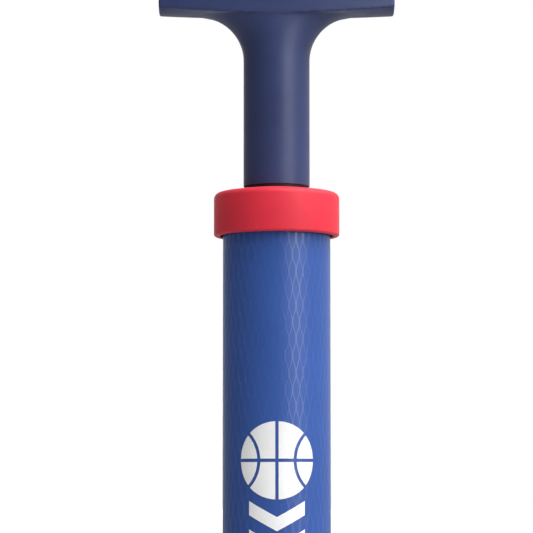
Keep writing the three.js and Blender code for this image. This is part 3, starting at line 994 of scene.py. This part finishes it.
def needle_shape(length):
    """Inflating needle up Z: threaded foot, knurled flange, fine shaft with a round tip."""
    thread, flange, shaft, bore = NEEDLE_THREAD, NEEDLE_FLANGE, NEEDLE_SHAFT, NEEDLE_BORE
    foot, shoulder, tip = NEEDLE_FOOT, NEEDLE_SHOULDER, 1.1
    points = [(0, length - 2), (bore, length - 2.3), (bore, 0.4), (bore + 0.35, 0), (thread - 0.45, 0)]
    points += [(thread, z) for z in levels(0.3, foot - 0.35, NEEDLE_PITCH / 6)]
    points += [(thread - 0.35, foot - 0.15), (thread - 0.35, foot), (flange - 0.35, foot)]
    points += [(flange, z) for z in levels(foot + 0.3, shoulder - 0.3, 0.15)]
    points += [(flange - 0.35, shoulder), (shaft + 0.55, shoulder + 0.05), (shaft + 0.1, shoulder + 0.4)]
    points += [(shaft, z) for z in (shoulder + 0.8, length - 6, length - tip)]
    angles = (math.pi / 2 * k / 8 for k in range(1, 8))
    points += [(shaft * math.cos(a), length - tip + tip * math.sin(a)) for a in angles]
    points += [(0, length)]
    knurls, knurl_pitch = 32, 0.62

    def wobble(r, z, angle):
        if r == thread:
            return r - 0.32 * thread_phase(z, angle, NEEDLE_PITCH), z
        if r == flange:
            lean, rise = knurls * angle, TAU * z / knurl_pitch
            groove = max(abs(math.sin((lean + rise) / 2)), abs(math.sin((lean - rise) / 2)))
            return r - 0.22 * groove ** 3, z
        return r, z

    return lathe(points, sides=128, loop=False, wobble=wobble)


def make_needles():
    """Two needles that point opposite ways, each with a slot in its side near the tip."""
    slot = [(-0.42, -2), (0.42, -2), (0.42, 0), (-0.42, 0)]
    for node, turn in (("needle_upper", -1), ("needle_lower", 1)):
        extent = Extent(node)
        length = extent.high.x - extent.low.x
        start = extent.high.x if turn < 0 else extent.low.x
        height = (extent.bottom + extent.top) / 2
        place = Matrix.Translation((start, 0, height)) @ Matrix.Rotation(turn * math.pi / 2, 4, "Y")
        needle = bare_object("spare_" + node, moved(needle_shape(length), place))
        slot_ends = [start + turn * (length - back) for back in (5.2, 1.9)]
        boolean(needle, skin([[(x, y, height + z) for z, y in slot] for x in slot_ends]))
        dress(needle, nickel, "needle_store", "nickel_needle", node)


def box_shape(xs, ys, zs):
    return skin([[(x, ys[0], zs[0]), (x, ys[1], zs[0]), (x, ys[1], zs[1]), (x, ys[0], zs[1])] for x in xs])


def rod_x(radius, height, x_from, x_to):
    place = Matrix.Translation((0, 0, STORE_HEIGHT + height)) @ Matrix.Rotation(math.pi / 2, 4, "Y")
    corners = [(0, x_from, 0), (radius, x_from, 0), (radius, x_to, 0), (0, x_to, 0)]
    return moved(solid(corners, sides=40), place)


def make_holder():
    """Pull-out holder: end plug with two nail slots, thin spine and two clips for the needle shafts."""
    z, face = STORE_HEIGHT, holder.high.x
    plug_start = face - 5.8
    spine, clip = (3.2, 4.4), (-1, 3.4)  # how far each spans along Y
    tall, taller = (z - 5.2, z + 5.2), (z - 5.21, z + 5.21)
    carrier = bare_object("store_drawer", oblong(STORE_ROUND - FIT, plug_start, face))
    boolean(carrier, box_shape((holder.low.x, plug_start + 0.5), spine, tall), "UNION")
    for x in (-9, 12):
        boolean(carrier, box_shape((x, x + 3.5), clip, taller), "UNION")
    boolean(carrier, oblong_ring(STORE_ROUND + 1, STORE_ROUND - 1, plug_start + 1.6, plug_start + 3.2))
    for y in (-3.2, 3.2):
        boolean(carrier, box_shape((face - 0.8, face + 1), (y - 0.8, y + 0.8), (z - 4, z + 4)))
    heads = ((1, Extent("needle_upper").high.x - 7.6), (-1, Extent("needle_lower").low.x + 4.3))
    for side, head in heads:
        height = side * STORE_PITCH / 2
        boolean(carrier, rod_x(NEEDLE_SHAFT + 0.27, height, -22, 20))
        boolean(carrier, rod_x(NEEDLE_FLANGE + FIT, height, head, head + 3.3))
    soften(carrier, 0.16)
    dress(carrier, navy_satin, "needle_store", "navy_plastic", "needle_holder")


def make_store_seal():
    band, thick = Extent("holder_seal"), 0.65
    middle_x, half_width = (band.low.x + band.high.x) / 2, (band.high.x - band.low.x) / 2
    middle, half_depth = band.high.y - thick / 2, thick / 2
    loops = [oblong_loop(middle + half_depth * a, middle_x + half_width * b) for a, b in circle(1, 16)]
    piece("store_band", closed_skin(loops), black_rubber, "needle_store", "black_rubber", "holder_seal")


# ------------------------------------------------------------------ floor

GLOW_START, GLOW_END = 2.4, 4.9  # metres from the pump
FLOOR_SEEN, FLOOR_BOUNCE = 0.68, 0.35  # its paleness to the camera, and for the light that it throws back
FLOOR_RADIUS = 9000


def make_floor():
    """Pale floor that brightens with distance into the white backdrop, but sheds less light than it shows."""
    material = new_material("pale_floor", (1, 1, 1), 0.8)
    tree = material.node_tree
    nodes, links, shader = tree.nodes, tree.links, tree.nodes["Principled BSDF"]
    rays = nodes.new("ShaderNodeLightPath").outputs["Is Camera Ray"]
    distance = nodes.new("ShaderNodeVectorMath")
    distance.operation = "LENGTH"
    links.new(nodes["place"].outputs["Object"], distance.inputs[0])
    glow = nodes.new("ShaderNodeMath")
    glow.operation = "MULTIPLY"
    fade = map_range(tree, distance.outputs["Value"], GLOW_START, GLOW_END, 0, 1, smooth=True)
    links.new(fade, glow.inputs[0])
    links.new(rays, glow.inputs[1])
    links.new(glow.outputs[0], shader.inputs["Emission Strength"])
    shader.inputs["Emission Color"].default_value = WHITE
    links.new(map_range(tree, rays, 0, 1, FLOOR_BOUNCE, FLOOR_SEEN), shader.inputs["Base Color"])
    outline = [(0, 0), (FLOOR_RADIUS, 0), (FLOOR_RADIUS, -20), (0, -20)]
    floor = bare_object("floor", lathe(outline, sides=64, loop=False))
    floor.data.materials.append(material)


# ------------------------------------------------------------------ scene

make_camera()
make_world()
make_lights()
make_barrel()
make_net()
make_graphic()
make_collar()
make_base_cap()
make_socket()
make_barrel_inserts()
make_valve()
make_piston()
make_rod()
make_screws()
make_handle()
make_bumper()
make_needles()
make_holder()
make_store_seal()
make_floor()

bpy.context.scene.view_settings.view_transform = "Standard"
